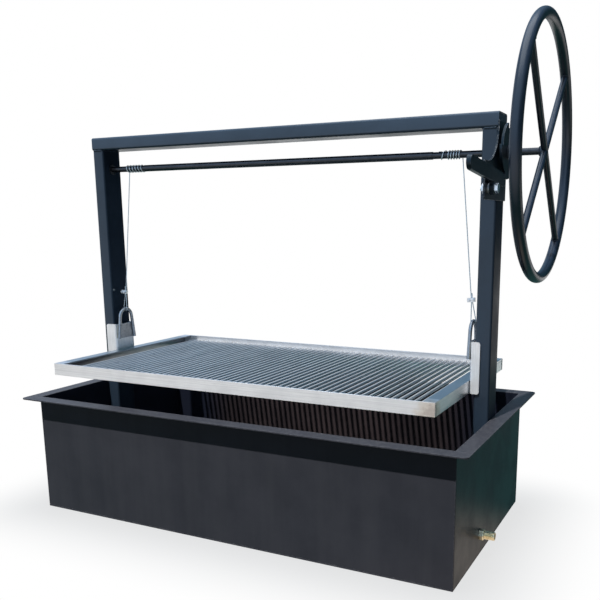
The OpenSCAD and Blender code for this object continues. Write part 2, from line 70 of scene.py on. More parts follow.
SHAFT_LOW, SHAFT_HIGH = span("lift_shaft")
AXIS_Z = (SHAFT_LOW.z + SHAFT_HIGH.z) / 2
SHAFT_R = (SHAFT_HIGH.z - SHAFT_LOW.z) / 2
POST_LOW, POST_HIGH = span("right_post")
BEAM_LOW = span("top_beam")[0]
RIM_LOW, RIM_HIGH = span("wheel_rim")
WHEEL_X = (RIM_LOW.x + RIM_HIGH.x) / 2
RIM_R = (RIM_HIGH.x - RIM_LOW.x) / 2
WHEEL_R = (RIM_HIGH.z - RIM_LOW.z) / 2 - RIM_R
FLOOR_HIGH = span("firebox_floor")[1]
RAIL_LOW, RAIL_HIGH = span("rail_front")
BARS_LOW, BARS_HIGH = span("grate_bars")
PLATE_LOW = span("side_plate")[0]
HOOP_LOW, HOOP_HIGH = span("left_hoop")
HOOP_R = (HOOP_HIGH.x - HOOP_LOW.x) / 2
EYE_LOW, EYE_HIGH = span("left_eye")
CABLE_R = (EYE_HIGH.y - EYE_LOW.y) / 2


# Node helpers


def add_node(tree, kind, inputs=None, **settings):
    """New node with some inputs set to a value or linked to an output socket."""
    made = tree.nodes.new(kind)
    for key, value in settings.items():
        setattr(made, key, value)
    for key, value in (inputs or {}).items():
        feed(tree, made.inputs[key], value)
    return made


def feed(tree, socket, value):
    """Links an output to a socket, or sets the socket's own value."""
    if isinstance(value, bpy.types.NodeSocket):
        tree.links.new(value, socket)
    else:
        socket.default_value = value


def new_group(name, inputs, outputs):
    """Empty shader node group with named float, vector or colour sockets."""
    tree = bpy.data.node_groups.new(name, "ShaderNodeTree")
    for key, (kind, default) in inputs.items():
        tree.interface.new_socket(key, in_out="INPUT", socket_type=kind).default_value = default
    for key, kind in outputs.items():
        tree.interface.new_socket(key, in_out="OUTPUT", socket_type=kind)
    return tree, tree.nodes.new("NodeGroupInput").outputs, tree.nodes.new("NodeGroupOutput").inputs


def math_node(tree, operation, a, b=None, clamp=False):
    """Output of a math node."""
    made = tree.nodes.new("ShaderNodeMath")
    made.operation = operation
    made.use_clamp = clamp
    feed(tree, made.inputs[0], a)
    if b is not None:
        feed(tree, made.inputs[1], b)
    return made.outputs[0]


def times(tree, a, b, clamp=False):
    """Product of two values."""
    return math_node(tree, "MULTIPLY", a, b, clamp)


def vector_math(tree, operation, a, b=None):
    """Outputs of a vector math node."""
    made = add_node(tree, "ShaderNodeVectorMath", {0: a}, operation=operation)
    if b is not None:
        feed(tree, made.inputs[1], b)
    return made.outputs


def axes(tree, vector):
    """X, Y and Z of a vector."""
    return add_node(tree, "ShaderNodeSeparateXYZ", {"Vector": vector}).outputs


def own_place(tree):
    """The object's own coordinates."""
    return tree.nodes.new("ShaderNodeTexCoord").outputs["Object"]


def face_normal(tree):
    """Direction a face looks in."""
    return tree.nodes.new("ShaderNodeNewGeometry").outputs["Normal"]


def facing(tree, axis):
    """How far a face looks along one axis."""
    return axes(tree, face_normal(tree))[axis]


def ranged(tree, value, low, high, to_low=0.0, to_high=1.0):
    """Value mapped smoothly from one range to another."""
    made = add_node(tree, "ShaderNodeMapRange", {
        "Value": value, "From Min": low, "From Max": high, "To Min": to_low, "To Max": to_high},
        interpolation_type="SMOOTHSTEP")
    return made.outputs["Result"]


def mixed(tree, factor, a, b):
    """Two colours mixed by a factor."""
    made = tree.nodes.new("ShaderNodeMix")
    made.data_type = "RGBA"
    feed(tree, made.inputs["Factor"], factor)
    feed(tree, made.inputs[6], a)
    feed(tree, made.inputs[7], b)
    return made.outputs[2]


def object_noise(tree, scale, detail=3.0, rough=0.55, stretch=None):
    """Noise over the object's own coordinates."""
    place = own_place(tree)
    if stretch is not None:
        place = vector_math(tree, "MULTIPLY", place, stretch)[0]
    made = add_node(tree, "ShaderNodeTexNoise", {
        "Vector": place, "Scale": scale, "Detail": detail, "Roughness": rough})
    return made.outputs["Fac"]


# Effects that several finishes share


def make_brushed():
    """Fine parallel lines; Stretch is small along the lines and large across them."""
    tree, given, out = new_group("brushed_lines", {
        "Stretch": ("NodeSocketVector", (6.0, 700.0, 700.0))},
        {"Lines": "NodeSocketFloat", "Bands": "NodeSocketFloat"})
    fine = object_noise(tree, 1.0, 6.0, 0.7, given["Stretch"])
    feed(tree, out["Lines"], ranged(tree, fine, 0.3, 0.7))
    wide = vector_math(tree, "MULTIPLY", given["Stretch"], (0.16, 0.16, 0.16))[0]
    feed(tree, out["Bands"], ranged(tree, object_noise(tree, 1.0, 3.0, 0.6, wide), 0.3, 0.7))
    return tree


def make_paint_skin():
    """Sprayed paint: fine peel, cloudy mottling, and dust on faces that look up."""
    tree, given, out = new_group("paint_skin", {
        "Peel Scale": ("NodeSocketFloat", 650.0), "Dust": ("NodeSocketFloat", 0.3)},
        {"Peel": "NodeSocketFloat", "Mottle": "NodeSocketFloat", "Dust": "NodeSocketFloat"})
    feed(tree, out["Peel"], object_noise(tree, given["Peel Scale"], 2.0))
    feed(tree, out["Mottle"], ranged(tree, object_noise(tree, 7.0, 6.0, 0.62), 0.32, 0.68))
    specks = ranged(tree, object_noise(tree, 90.0, 8.0, 0.75), 0.42, 0.7)
    settled = times(tree, ranged(tree, facing(tree, "Z"), 0.55, 0.95), specks)
    feed(tree, out["Dust"], times(tree, settled, given["Dust"], clamp=True))
    return tree


def make_edge_wear():
    """Mask along edges, broken up by noise."""
    tree, given, out = new_group("edge_wear", {
        "Width": ("NodeSocketFloat", 0.002), "Breakup": ("NodeSocketFloat", 140.0)},
        {"Wear": "NodeSocketFloat"})
    soft = add_node(tree, "ShaderNodeBevel", {"Radius": given["Width"]}, samples=4).outputs["Normal"]
    flatness = vector_math(tree, "DOT_PRODUCT", soft, face_normal(tree))["Value"]
    edge = ranged(tree, flatness, 0.995, 0.86)
    worn = ranged(tree, object_noise(tree, given["Breakup"], 5.0, 0.7), 0.44, 0.62)
    feed(tree, out["Wear"], times(tree, edge, worn, clamp=True))
    return tree


def make_heat_tint():
    """Straw and blue bloom round a welded corner."""
    tree, given, out = new_group("heat_tint", {
        "Corner": ("NodeSocketVector", (0.5, -0.28, 0.4)), "Reach": ("NodeSocketFloat", 0.05)},
        {"Straw": "NodeSocketFloat", "Blue": "NodeSocketFloat"})
    apart = vector_math(tree, "DISTANCE", own_place(tree), given["Corner"])["Value"]
    wobble = times(tree, math_node(tree, "SUBTRACT", object_noise(tree, 60.0, 4.0), 0.5), 0.9)
    near = math_node(tree, "ADD", math_node(tree, "DIVIDE", apart, given["Reach"]), wobble)
    feed(tree, out["Straw"], ranged(tree, near, 1.0, 0.35))
    feed(tree, out["Blue"], ranged(tree, near, 0.45, 0.2))
    return tree


BRUSHED = make_brushed()
PAINT_SKIN = make_paint_skin()
EDGE_WEAR = make_edge_wear()
HEAT_TINT = make_heat_tint()


# Finishes


def new_finish(name):
    """Material with its Principled shader, and its tree."""
    material = bpy.data.materials.new(name)
    material.use_nodes = True
    tree = material.node_tree
    return material, tree, tree.nodes["Principled BSDF"]


def use_group(tree, group, **inputs):
    """Outputs of a shared effect placed in a material."""
    made = tree.nodes.new("ShaderNodeGroup")
    made.node_tree = group
    for key, value in inputs.items():
        feed(tree, made.inputs[key], value)
    return made.outputs


def bump(tree, shader, height, strength, distance):
    """Bump from a height, on the shader's normal."""
    made = add_node(tree, "ShaderNodeBump", {
        "Height": height, "Strength": strength, "Distance": distance})
    tree.links.new(made.outputs["Normal"], shader.inputs["Normal"])


def paint(name, colour, light, worn, rough, specular, dust, wear_width=0.002, shaded_side_specular=None):
    """Sprayed paint: mottled, dusty on top, rubbed along its edges, with painted shade taking the shine
    off faces that look right if asked.
    """
    material, tree, shader = new_finish(name)
    skin = use_group(tree, PAINT_SKIN, Dust=dust)
    wear = use_group(tree, EDGE_WEAR, Width=wear_width)["Wear"]
    body = mixed(tree, skin["Mottle"], (*colour, 1), (*light, 1))
    body = mixed(tree, skin["Dust"], body, (0.20, 0.21, 0.23, 1))
    body = mixed(tree, times(tree, wear, 0.6), body, (*worn, 1))
    feed(tree, shader.inputs["Base Color"], body)
    base = ranged(tree, skin["Mottle"], 0.0, 1.0, rough - 0.05, rough + 0.07)
    feed(tree, shader.inputs["Roughness"], math_node(tree, "ADD", base, times(tree, skin["Dust"], 0.3)))
    # Painted shade: faces that look right reflect less
    if shaded_side_specular is not None:
        specular = ranged(tree, facing(tree, "X"), 0.2, 0.7, specular, shaded_side_specular)
    feed(tree, shader.inputs["Specular IOR Level"], specular)
    bump(tree, shader, skin["Peel"], 0.12, 0.0006)
    return material


# Soot begins this far in from the outside of the walls and of the floor
SOOT_WALL = 3.8 * MM
SOOT_FLOOR = 3.5 * MM


def firebox_paint():
    """Charcoal stove paint outside with pale rubbed edges that are also a painted edge highlight, brown
    soot on the inside faces, and painted shade towards the inner end walls.
    """
    material, tree, shader = new_finish("firebox_paint")
    skin = use_group(tree, PAINT_SKIN, Dust=0.10)
    wear = use_group(tree, EDGE_WEAR, Width=0.003)["Wear"]
    streaks = ranged(tree, object_noise(tree, 1.0, 5.0, 0.6, (22.0, 22.0, 1.6)), 0.35, 0.7)
    body = mixed(tree, skin["Mottle"], (0.035, 0.037, 0.047, 1), (0.043, 0.045, 0.056, 1))
    body = mixed(tree, times(tree, streaks, 0.35), body, (0.056, 0.058, 0.069, 1))
    spot = axes(tree, own_place(tree))
    across = math_node(tree, "ABSOLUTE", spot["X"])
    along = math_node(tree, "ABSOLUTE", spot["Y"])
    in_x = math_node(tree, "LESS_THAN", across, FLOOR_HIGH.x - SOOT_WALL)
    in_y = math_node(tree, "LESS_THAN", along, FLOOR_HIGH.y - SOOT_WALL)
    above = math_node(tree, "GREATER_THAN", spot["Z"], SOOT_FLOOR)
    inside = times(tree, times(tree, in_x, in_y), above)
    soot = ranged(tree, object_noise(tree, 5.0, 7.0, 0.65), 0.3, 0.75)
    sooty = mixed(tree, soot, (0.024, 0.020, 0.023, 1), (0.054, 0.042, 0.045, 1))
    # Painted shade: the soot turns dark navy towards both inner end walls, where the box lies in shade
    ends = ranged(tree, across, 0.36, 0.50)
    sooty = mixed(tree, ends, sooty, (0.012, 0.015, 0.026, 1))
    # Pale rubbed edges, also a painted highlight along the flange edges
    body = mixed(tree, times(tree, wear, 0.60), body, (0.22, 0.23, 0.25, 1))
    dusty = mixed(tree, skin["Dust"], body, (0.28, 0.28, 0.29, 1))
    feed(tree, shader.inputs["Base Color"], mixed(tree, inside, dusty, sooty))
    shader.inputs["Specular IOR Level"].default_value = 0.10
    base = ranged(tree, skin["Mottle"], 0.0, 1.0, 0.34, 0.44)
    feed(tree, shader.inputs["Roughness"], math_node(tree, "ADD", base, times(tree, inside, 0.35)))
    bump(tree, shader, skin["Peel"], 0.10, 0.0006)
    return material


# Between these distances from the middle, the tops of the side rails go from clean to a painted
# reflection of a dark bank
PAINTED_REFLECTION_Y = (0.262, 0.250)
# Range of the normal over which front faces (Y) or top faces (Z) lose metal, a painted sheen of the sun
SHEEN_FACES = {"Y": (-0.4, -0.9), "Z": (0.70, 1.0)}


def stainless(name, stretch, dark, bright, rough,
        tint_corner=None, painted_sheen=0.0, sheen_axis="Y", painted_shade_and_reflection=False):
    """Brushed stainless, with heat tint at a weld, a painted sheen on front or top faces and painted
    shade and reflection on the side rails where asked.
    """
    material, tree, shader = new_finish(name)
    lines = use_group(tree, BRUSHED, Stretch=stretch)
    body = mixed(tree, lines["Lines"], (*dark, 1), (*bright, 1))
    smudge = ranged(tree, object_noise(tree, 14.0, 6.0, 0.6), 0.35, 0.7)
    body = mixed(tree, times(tree, smudge, 0.25), body, (*[c * 0.72 for c in dark], 1))
    if painted_shade_and_reflection:
        # Painted shade on the inner faces of the side rails, and a painted reflection of a dark bank on
        # their tops
        spot = axes(tree, own_place(tree))
        inner = ranged(tree, times(tree, facing(tree, "X"), spot["X"]), -0.1, -0.4)
        side = ranged(tree, math_node(tree, "ABSOLUTE", spot["Y"]), *PAINTED_REFLECTION_Y)
        top = times(tree, ranged(tree, facing(tree, "Z"), 0.6, 0.9), side)
        body = mixed(tree, times(tree, top, 0.75), body, (0.30, 0.38, 0.42, 1))
        body = mixed(tree, times(tree, inner, 0.70), body, (0.16, 0.18, 0.20, 1))
    if tint_corner is not None:
        tint = use_group(tree, HEAT_TINT, Corner=tint_corner)
        body = mixed(tree, times(tree, tint["Straw"], 0.42), body, (0.55, 0.40, 0.24, 1))
        body = mixed(tree, times(tree, tint["Blue"], 0.35), body, (0.24, 0.17, 0.15, 1))
    feed(tree, shader.inputs["Base Color"], body)
    metallic = 1.0
    # Painted sheen: faces that look forward or up turn partly diffuse, so that the sun lights them as if
    # it glinted
    if painted_sheen:
        metallic = ranged(tree, facing(tree, sheen_axis), *SHEEN_FACES[sheen_axis], 1.0, 1.0 - painted_sheen)
    feed(tree, shader.inputs["Metallic"], metallic)
    base = ranged(tree, lines["Bands"], 0.0, 1.0, rough - 0.06, rough + 0.08)
    feed(tree, shader.inputs["Roughness"], math_node(tree, "ADD", base, times(tree, smudge, 0.08)))
    bump(tree, shader, lines["Lines"], 0.16, 0.0002)
    return material


def plain_metal(name, dark, bright, rough, scale=220.0, metallic=1.0):
    """Cast, plated or turned metal with fine mottling and rubbed edges."""
    material, tree, shader = new_finish(name)
    grain = ranged(tree, object_noise(tree, scale, 5.0, 0.65), 0.32, 0.7)
    cloud = ranged(tree, object_noise(tree, scale * 0.12, 4.0), 0.35, 0.68)
    wear = use_group(tree, EDGE_WEAR, Width=0.0012, Breakup=300.0)["Wear"]
    body = mixed(tree, grain, (*dark, 1), (*bright, 1))
    rubbed = [min(1.0, c * 1.3) for c in bright]
    body = mixed(tree, times(tree, wear, 0.5), body, (*rubbed, 1))
    feed(tree, shader.inputs["Base Color"], body)
    shader.inputs["Metallic"].default_value = metallic
    feed(tree, shader.inputs["Roughness"], ranged(tree, cloud, 0.0, 1.0, rough - 0.06, rough + 0.10))
    bump(tree, shader, grain, 0.12, 0.0002)
    return material


GRATE_CORNER = (RAIL_HIGH.x - 8 * MM, RAIL_LOW.y, RAIL_LOW.z + 10 * MM)

FIREBOX_PAINT = firebox_paint()
FRAME_PAINT = paint("frame_paint", (0.018, 0.030, 0.048), (0.025, 0.040, 0.062), (0.14, 0.19, 0.24),
    rough=0.34, specular=0.36, dust=0.06, shaded_side_specular=0.02)
BEAM_PAINT = paint("beam_paint", (0.028, 0.046, 0.072), (0.038, 0.060, 0.092), (0.16, 0.22, 0.28),
    rough=0.34, specular=0.40, dust=0.06)
WHEEL_PAINT = paint("wheel_paint", (0.0050, 0.0105, 0.0210), (0.0090, 0.0175, 0.0330), (0.05, 0.07, 0.10),
    rough=0.34, specular=0.50, dust=0.03)
LEVER_PAINT = paint("lever_paint", (0.005, 0.013, 0.022), (0.009, 0.020, 0.031), (0.20, 0.22, 0.25),
    rough=0.36, specular=0.22, dust=0.05)
# The side plate's bright rubbed edges are also a painted highlight along its cut edge
PLATE_PAINT = paint("plate_paint", (0.006, 0.012, 0.020), (0.010, 0.018, 0.028), (0.62, 0.66, 0.72),
    rough=0.34, specular=0.22, dust=0.05, wear_width=0.0022)
SCREW_PAINT = paint("screw_paint", (0.06, 0.08, 0.09), (0.11, 0.14, 0.16), (0.30, 0.31, 0.33),
    rough=0.40, specular=0.40, dust=0.10)
SHAFT_STEEL = plain_metal("shaft_steel", (0.036, 0.039, 0.046), (0.052, 0.055, 0.062),
    rough=0.27, scale=90.0, metallic=0.75)
RAIL_STEEL = stainless("rail_steel", (5.0, 5.0, 900.0), (0.74, 0.74, 0.76), (0.96, 0.96, 0.97),
    rough=0.34, tint_corner=GRATE_CORNER, painted_sheen=0.82, painted_shade_and_reflection=True)
BAR_STEEL = stainless("bar_steel", (900.0, 5.0, 900.0), (0.50, 0.51, 0.52), (0.80, 0.81, 0.82),
    rough=0.30, painted_sheen=0.38, sheen_axis="Z")
GUIDE_STEEL = stainless("guide_steel", (800.0, 800.0, 6.0), (0.72, 0.72, 0.73), (0.92, 0.92, 0.93),
    rough=0.34, painted_sheen=0.72)
HOOP_STEEL = stainless("hoop_steel", (160.0, 160.0, 160.0), (0.30, 0.31, 0.33), (0.46, 0.47, 0.49),
    rough=0.38)
ZINC = plain_metal("zinc", (0.62, 0.63, 0.65), (0.86, 0.87, 0.88), rough=0.30)
WIRE = plain_metal("wire", (0.50, 0.54, 0.56), (0.78, 0.82, 0.84), rough=0.36, scale=900.0)
BRASS = plain_metal("brass", (0.80, 0.65, 0.40), (0.98, 0.87, 0.63), rough=0.40)
STAINLESS_WELD = plain_metal("stainless_weld", (0.30, 0.26, 0.21), (0.52, 0.47, 0.40),
    rough=0.40, scale=420.0)


# Objects and meshes


def new_object(name, data):
    """Object in the scene for some data."""
    made = bpy.data.objects.new(name, data)
    bpy.context.scene.collection.objects.link(made)
    return made


def add_piece(name, mesh, body, slot, *replaced):
    """Object for a finished mesh that rides on a body and stands for CAD nodes."""
    piece = new_object(name, mesh)
    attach(piece, body)
    if replaced:
        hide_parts(*replaced)
    return piece


def smooth(mesh, angle=32.0):
    """Smooth shading with sharp edges past an angle."""
    mesh.shade_smooth()
    mesh.set_sharp_from_angle(angle=math.radians(angle))


def soften(piece, width):
    """Small rounding of a piece's edges."""
    rounding = piece.modifiers.new("softened_edges", "BEVEL")
    rounding.width = width
    rounding.segments = 2
    return rounding


def dress(node, material, bevel):
    """Merged copy of a CAD node with a finish; bevel is the width of its softened edges in mm."""
    mesh = frame["nodes"][node].data.copy()
    mesh.name = node + "_skin"
    shape = bmesh.new()
    shape.from_mesh(mesh)
    bmesh.ops.remove_doubles(shape, verts=shape.verts, dist=1e-6)
    bmesh.ops.dissolve_limit(shape, angle_limit=math.radians(0.3), verts=shape.verts, edges=shape.edges)
    shape.to_mesh(mesh)
    shape.free()
    mesh.materials.clear()
    mesh.materials.append(material)
    smooth(mesh)
    piece = add_piece(node + "_dressed", mesh, BODY_OF[node], SLOT_OF[node], node)
    if bevel:
        rounding = soften(piece, bevel * MM)
        rounding.limit_method = "ANGLE"
        rounding.angle_limit = math.radians(35)
        rounding.harden_normals = True


def mesh_from(name, verts, faces, material):
    """Mesh from points and faces, with its normals turned outwards."""
    mesh = bpy.data.meshes.new(name)
    mesh.from_pydata(verts, [], faces)
    shape = bmesh.new()
    shape.from_mesh(mesh)
    bmesh.ops.remove_doubles(shape, verts=shape.verts, dist=1e-7)
    bmesh.ops.recalc_face_normals(shape, faces=shape.faces)
    shape.to_mesh(mesh)
    shape.free()
    mesh.materials.append(material)
    return mesh


def x_ring(x, y, z, radius, columns):
    """Ring of points about a line along X."""
    angles = [2 * math.pi * k / columns for k in range(columns)]
    return [Vector((x, y + radius * math.cos(angle), z + radius * math.sin(angle))) for angle in angles]


def ring_faces(rows, columns, closed=False):
    """Quads between rows of points; each row is a closed ring."""
    last = rows if closed else rows - 1
    return [(i * columns + k, i * columns + (k + 1) % columns,
             (i + 1) % rows * columns + (k + 1) % columns, (i + 1) % rows * columns + k)
            for i in range(last) for k in range(columns)]


def end_faces(count, columns):
    """Faces that close the first and the last ring of a row of rings."""
    return [tuple(range(columns)), tuple(range(count - 1, count - 1 - columns, -1))]


# Geometry node trees for what repeats or follows a path


def geometry_tree(name, inputs):
    """Geometry node tree with a geometry socket each way and named inputs."""
    tree = bpy.data.node_groups.new(name, "GeometryNodeTree")
    tree.interface.new_socket("Geometry", in_out="INPUT", socket_type="NodeSocketGeometry")
    for key, kind in inputs.items():
        tree.interface.new_socket(key, in_out="INPUT", socket_type=kind)
    tree.interface.new_socket("Geometry", in_out="OUTPUT", socket_type="NodeSocketGeometry")
    return tree, tree.nodes.new("NodeGroupInput").outputs, tree.nodes.new("NodeGroupOutput").inputs


def finish_tree(tree, geometry, given, out, shade=True):
    """Ends a tree: real meshes, smooth shading if asked, one finish."""
    geometry = add_node(tree, "GeometryNodeRealizeInstances", {"Geometry": geometry}).outputs[0]
    if shade:
        geometry = add_node(tree, "GeometryNodeSetShadeSmooth", {"Geometry": geometry}).outputs[0]
    feed(tree, out["Geometry"], add_node(tree, "GeometryNodeSetMaterial", {
        "Geometry": geometry, "Material": given["Finish"]}).outputs[0])


def stepped(tree, curve, step):
    """Curve cut into equal steps of about a given length."""
    made = add_node(tree, "GeometryNodeResampleCurve", {"Curve": curve, "Length": step}, mode="LENGTH")
    return made.outputs[0]


def make_weld_tree():
    """Overlapping scales of weld metal along each path."""
    tree, given, out = geometry_tree("weld_bead", {
        "Spacing": "NodeSocketFloat", "Bead": "NodeSocketFloat", "Seed": "NodeSocketInt",
        "Finish": "NodeSocketMaterial"})
    path = stepped(tree, given["Geometry"], given["Spacing"])
    scale = add_node(tree, "GeometryNodeMeshIcoSphere", {
        "Radius": given["Bead"], "Subdivisions": 2}).outputs[0]
    along = tree.nodes.new("GeometryNodeInputTangent").outputs[0]
    turn = add_node(tree, "FunctionNodeAlignRotationToVector", {"Vector": along}, axis="Z").outputs[0]
    size = add_node(tree, "FunctionNodeRandomValue", {"Seed": given["Seed"]}, data_type="FLOAT_VECTOR")
    size.inputs[0].default_value = (0.86, 0.86, 0.62)
    size.inputs[1].default_value = (1.12, 1.12, 0.80)
    placed = add_node(tree, "GeometryNodeInstanceOnPoints", {
        "Points": path, "Instance": scale, "Rotation": turn, "Scale": size.outputs[0]}).outputs[0]
    finish_tree(tree, placed, given, out)
    return tree


def make_cable_tree():
    """Stranded wire rope along a path: a lobed section that turns as it goes."""
    tree, given, out = geometry_tree("stranded_cable", {
        "Radius": "NodeSocketFloat", "Lobe Depth": "NodeSocketFloat", "Lay": "NodeSocketFloat",
        "Step": "NodeSocketFloat", "Finish": "NodeSocketMaterial"})
    path = stepped(tree, given["Geometry"], given["Step"])
    length = tree.nodes.new("GeometryNodeSplineParameter").outputs["Length"]
    twist = times(tree, math_node(tree, "DIVIDE", length, given["Lay"]), 2 * math.pi)
    tilted = add_node(tree, "GeometryNodeSetCurveTilt", {"Curve": path, "Tilt": twist}).outputs[0]
    circle = add_node(tree, "GeometryNodeCurvePrimitiveCircle", {
        "Resolution": 36, "Radius": given["Radius"]}).outputs[0]
    place = tree.nodes.new("GeometryNodeInputPosition").outputs[0]
    spot = axes(tree, place)
    around = times(tree, math_node(tree, "ARCTAN2", spot["Y"], spot["X"]), 3.0)
    lobe = math_node(tree, "ABSOLUTE", math_node(tree, "COSINE", around))
    hollow = times(tree, math_node(tree, "SUBTRACT", 1.0, lobe), given["Lobe Depth"])
    drawn = add_node(tree, "ShaderNodeVectorMath", operation="SCALE")
    feed(tree, drawn.inputs[0], place)
    feed(tree, drawn.inputs["Scale"], math_node(tree, "SUBTRACT", 1.0, hollow))
    section = add_node(tree, "GeometryNodeSetPosition", {
        "Geometry": circle, "Position": drawn.outputs[0]}).outputs[0]
    rope = add_node(tree, "GeometryNodeCurveToMesh", {
        "Curve": tilted, "Profile Curve": section, "Fill Caps": True}).outputs[0]
    finish_tree(tree, rope, given, out)
    return tree


def make_row_tree():
    """Copies of one bar in a row along X."""
    tree, given, out = geometry_tree("bar_row", {
        "Count": "NodeSocketInt", "Pitch": "NodeSocketVector", "Start": "NodeSocketVector",
        "Finish": "NodeSocketMaterial"})
    row = add_node(tree, "GeometryNodeMeshLine", {
        "Count": given["Count"], "Start Location": given["Start"], "Offset": given["Pitch"]}).outputs[0]
    placed = add_node(tree, "GeometryNodeInstanceOnPoints", {
        "Points": row, "Instance": given["Geometry"]}).outputs[0]
    finish_tree(tree, placed, given, out, shade=False)
    return tree


WELD_TREE = make_weld_tree()
CABLE_TREE = make_cable_tree()
ROW_TREE = make_row_tree()


def run_tree(name, source, tree, values):
    """Plain mesh that a tree makes from a curve or a mesh."""
    carrier = new_object(name + "_source", source)
    shaper = carrier.modifiers.new("shaper", "NODES")
    shaper.node_group = tree
    for key, value in values.items():
        shaper[tree.interface.items_tree[key].identifier] = value
    graph = bpy.context.evaluated_depsgraph_get()
    mesh = bpy.data.meshes.new_from_object(carrier.evaluated_get(graph))
    mesh.name = name
    carrier.modifiers.remove(shaper)
    bpy.data.objects.remove(carrier)
    return mesh


def path_curve(name, paths):
    """Curve with a straight-sided spline for each list of points; a closed path ends where it began."""
    curve = bpy.data.curves.new(name, "CURVE")
    curve.dimensions = "3D"
    for points in paths:
        closed = (Vector(points[0]) - Vector(points[-1])).length < 1e-7
        points = points[:-1] if closed else points
        spline = curve.splines.new("POLY")
        spline.points.add(len(points) - 1)
        for target, point in zip(spline.points, points):
            target.co = (*point, 1.0)
        spline.use_cyclic_u = closed
    return curve


def weld(name, body, material, slot, paths, bead, seed):
    """Weld beads along paths, as one piece."""
    mesh = run_tree(name, path_curve(name, paths), WELD_TREE, {
        "Spacing": bead * 0.85, "Bead": bead, "Seed": seed, "Finish": material})
    add_piece(name, mesh, body, slot)


# CAD nodes that keep their shape

DRESSED = {
    FIREBOX_PAINT: {"firebox_floor": 1.0, "firebox_front": 1.2, "firebox_back": 1.2,
        "firebox_left": 1.2, "firebox_right": 1.2,
        "flange_front": 1.0, "flange_back": 1.0, "flange_left": 1.0, "flange_right": 1.0},
    FRAME_PAINT: {"left_post": 0.5, "right_post": 0.5},
    BEAM_PAINT: {"top_beam": 0.5, "beam_end_caps": 0.4},
    WHEEL_PAINT: {"wheel_hub": 1.2, "spoke_through": 0.0, "spoke_upper": 0.0, "spoke_lower": 0.0},
    LEVER_PAINT: {"pawl_lever": 1.6, "ratchet_disc": 0.5},
    SHAFT_STEEL: {"lift_shaft": 1.0, "shaft_sleeve": 0.3, "ratchet_collar": 0.8,
        "shaft_collar": 0.8, "cable_anchors": 0.8, "left_shaft_bush": 0.4, "right_shaft_bush": 0.4},
    PLATE_PAINT: {"side_plate": 0.8},
    SCREW_PAINT: {"post_screws": 0.3, "collar_screw": 0.3},
    RAIL_STEEL: {"rail_front": 0.7, "rail_back": 0.7, "rail_left": 0.7, "rail_right": 0.7},
    GUIDE_STEEL: {"left_guide": 0.6, "right_guide": 0.6},
    HOOP_STEEL: {"left_hoop": 0.0, "right_hoop": 0.0, "left_hoop_plate": 0.6, "right_hoop_plate": 0.6},
    ZINC: {"pivot_bolt": 0.7, "pivot_nut": 0.7, "pivot_spacer": 0.4,
        "clamp_saddles": 1.2, "clamp_u_bolts": 0.0, "clamp_nuts": 0.3},
    BRASS: {"fitting_nut": 0.6},
}
for finish, members in DRESSED.items():
    for node, edge in members.items():
        dress(node, finish, edge)


# Handwheel rim and its welds


def wheel_point(angle, radius, x):
    """Point about the shaft line, with the angle from +Y towards +Z and x from the rim's middle."""
    return Vector((WHEEL_X + x, radius * math.cos(angle), AXIS_Z + radius * math.sin(angle)))


def make_rim():
    """Bent tube of the handwheel."""
    around, about = 168, 28
    tube = RIM_R - 0.06 * MM
    verts = []
    for i in range(around):
        angle = 2 * math.pi * i / around
        for k in range(about):
            lean = 2 * math.pi * k / about
            verts.append(wheel_point(angle, WHEEL_R + tube * math.cos(lean), tube * math.sin(lean)))
    mesh = mesh_from("wheel_rim_tube", verts, ring_faces(around, about, closed=True), WHEEL_PAINT)
    mesh.shade_smooth()
    add_piece("wheel_rim_tube", mesh, "wheel", "gloss_paint", "wheel_rim")


RINGS = 24
SPOKE_R = 7.5 * MM
SPOKE_TURN = math.radians(43)


def spoke_weld_path(angle):
    """Ring where a spoke meets the inside of the rim."""
    along = Vector((0, math.cos(angle), math.sin(angle)))
    aside = Vector((0, -math.sin(angle), math.cos(angle)))
    radius = SPOKE_R + 0.6 * MM
    sink = 0.4 * MM
    ring = []
    for k in range(RINGS + 1):
        lean = 2 * math.pi * k / RINGS
        a = radius * math.cos(lean)
        b = radius * math.sin(lean)
        reach = math.sqrt((WHEEL_R - math.sqrt(RIM_R ** 2 - a ** 2)) ** 2 - b ** 2)
        ring.append(Vector((WHEEL_X + a, 0, AXIS_Z)) + along * (reach - sink) + aside * b)
    return ring


def shaft_ring(x, radius):
    """Closed path round the shaft."""
    ring = x_ring(x, 0.0, AXIS_Z, radius, 32)
    return ring + ring[:1]


make_rim()
HUB_LOW = span("wheel_hub")[0]
RATCHET_LOW, RATCHET_HIGH = span("ratchet_collar")
RATCHET_R = (RATCHET_HIGH.z - RATCHET_LOW.z) / 2
SPOKE_WELDS = [spoke_weld_path(SPOKE_TURN + k * math.pi / 2) for k in range(4)]
HUB_WELD = shaft_ring(HUB_LOW.x, SHAFT_R + 1.2 * MM)
RATCHET_WELD = shaft_ring(RATCHET_LOW.x + 0.4 * MM, RATCHET_R + 0.6 * MM)
weld("wheel_welds", "wheel", WHEEL_PAINT, "gloss_paint", SPOKE_WELDS + [HUB_WELD], bead=2.1 * MM, seed=3)
weld("ratchet_welds", "wheel", SHAFT_STEEL, "shaft_steel", [RATCHET_WELD], bead=1.8 * MM, seed=5)


# Cables

CABLE = {"Radius": CABLE_R, "Lobe Depth": 0.26, "Lay": 13 * MM, "Step": 0.9 * MM, "Finish": WIRE}
TURNS = 6
SLACK = 0.3 * MM
WIND_R = SHAFT_R + CABLE_R + SLACK
LEAVE_X = POST_LOW.x - 57 * MM
LEFT_LEAD = 10.4 * MM
RIGHT_LEAD = 6.6 * MM
RIGHT_SLANT = 20 * MM
STRAND = CABLE_R + 0.1 * MM
CLAMP_RISE = 52 * MM
CLAMP_HALF = 6 * MM
TAIL = 10 * MM


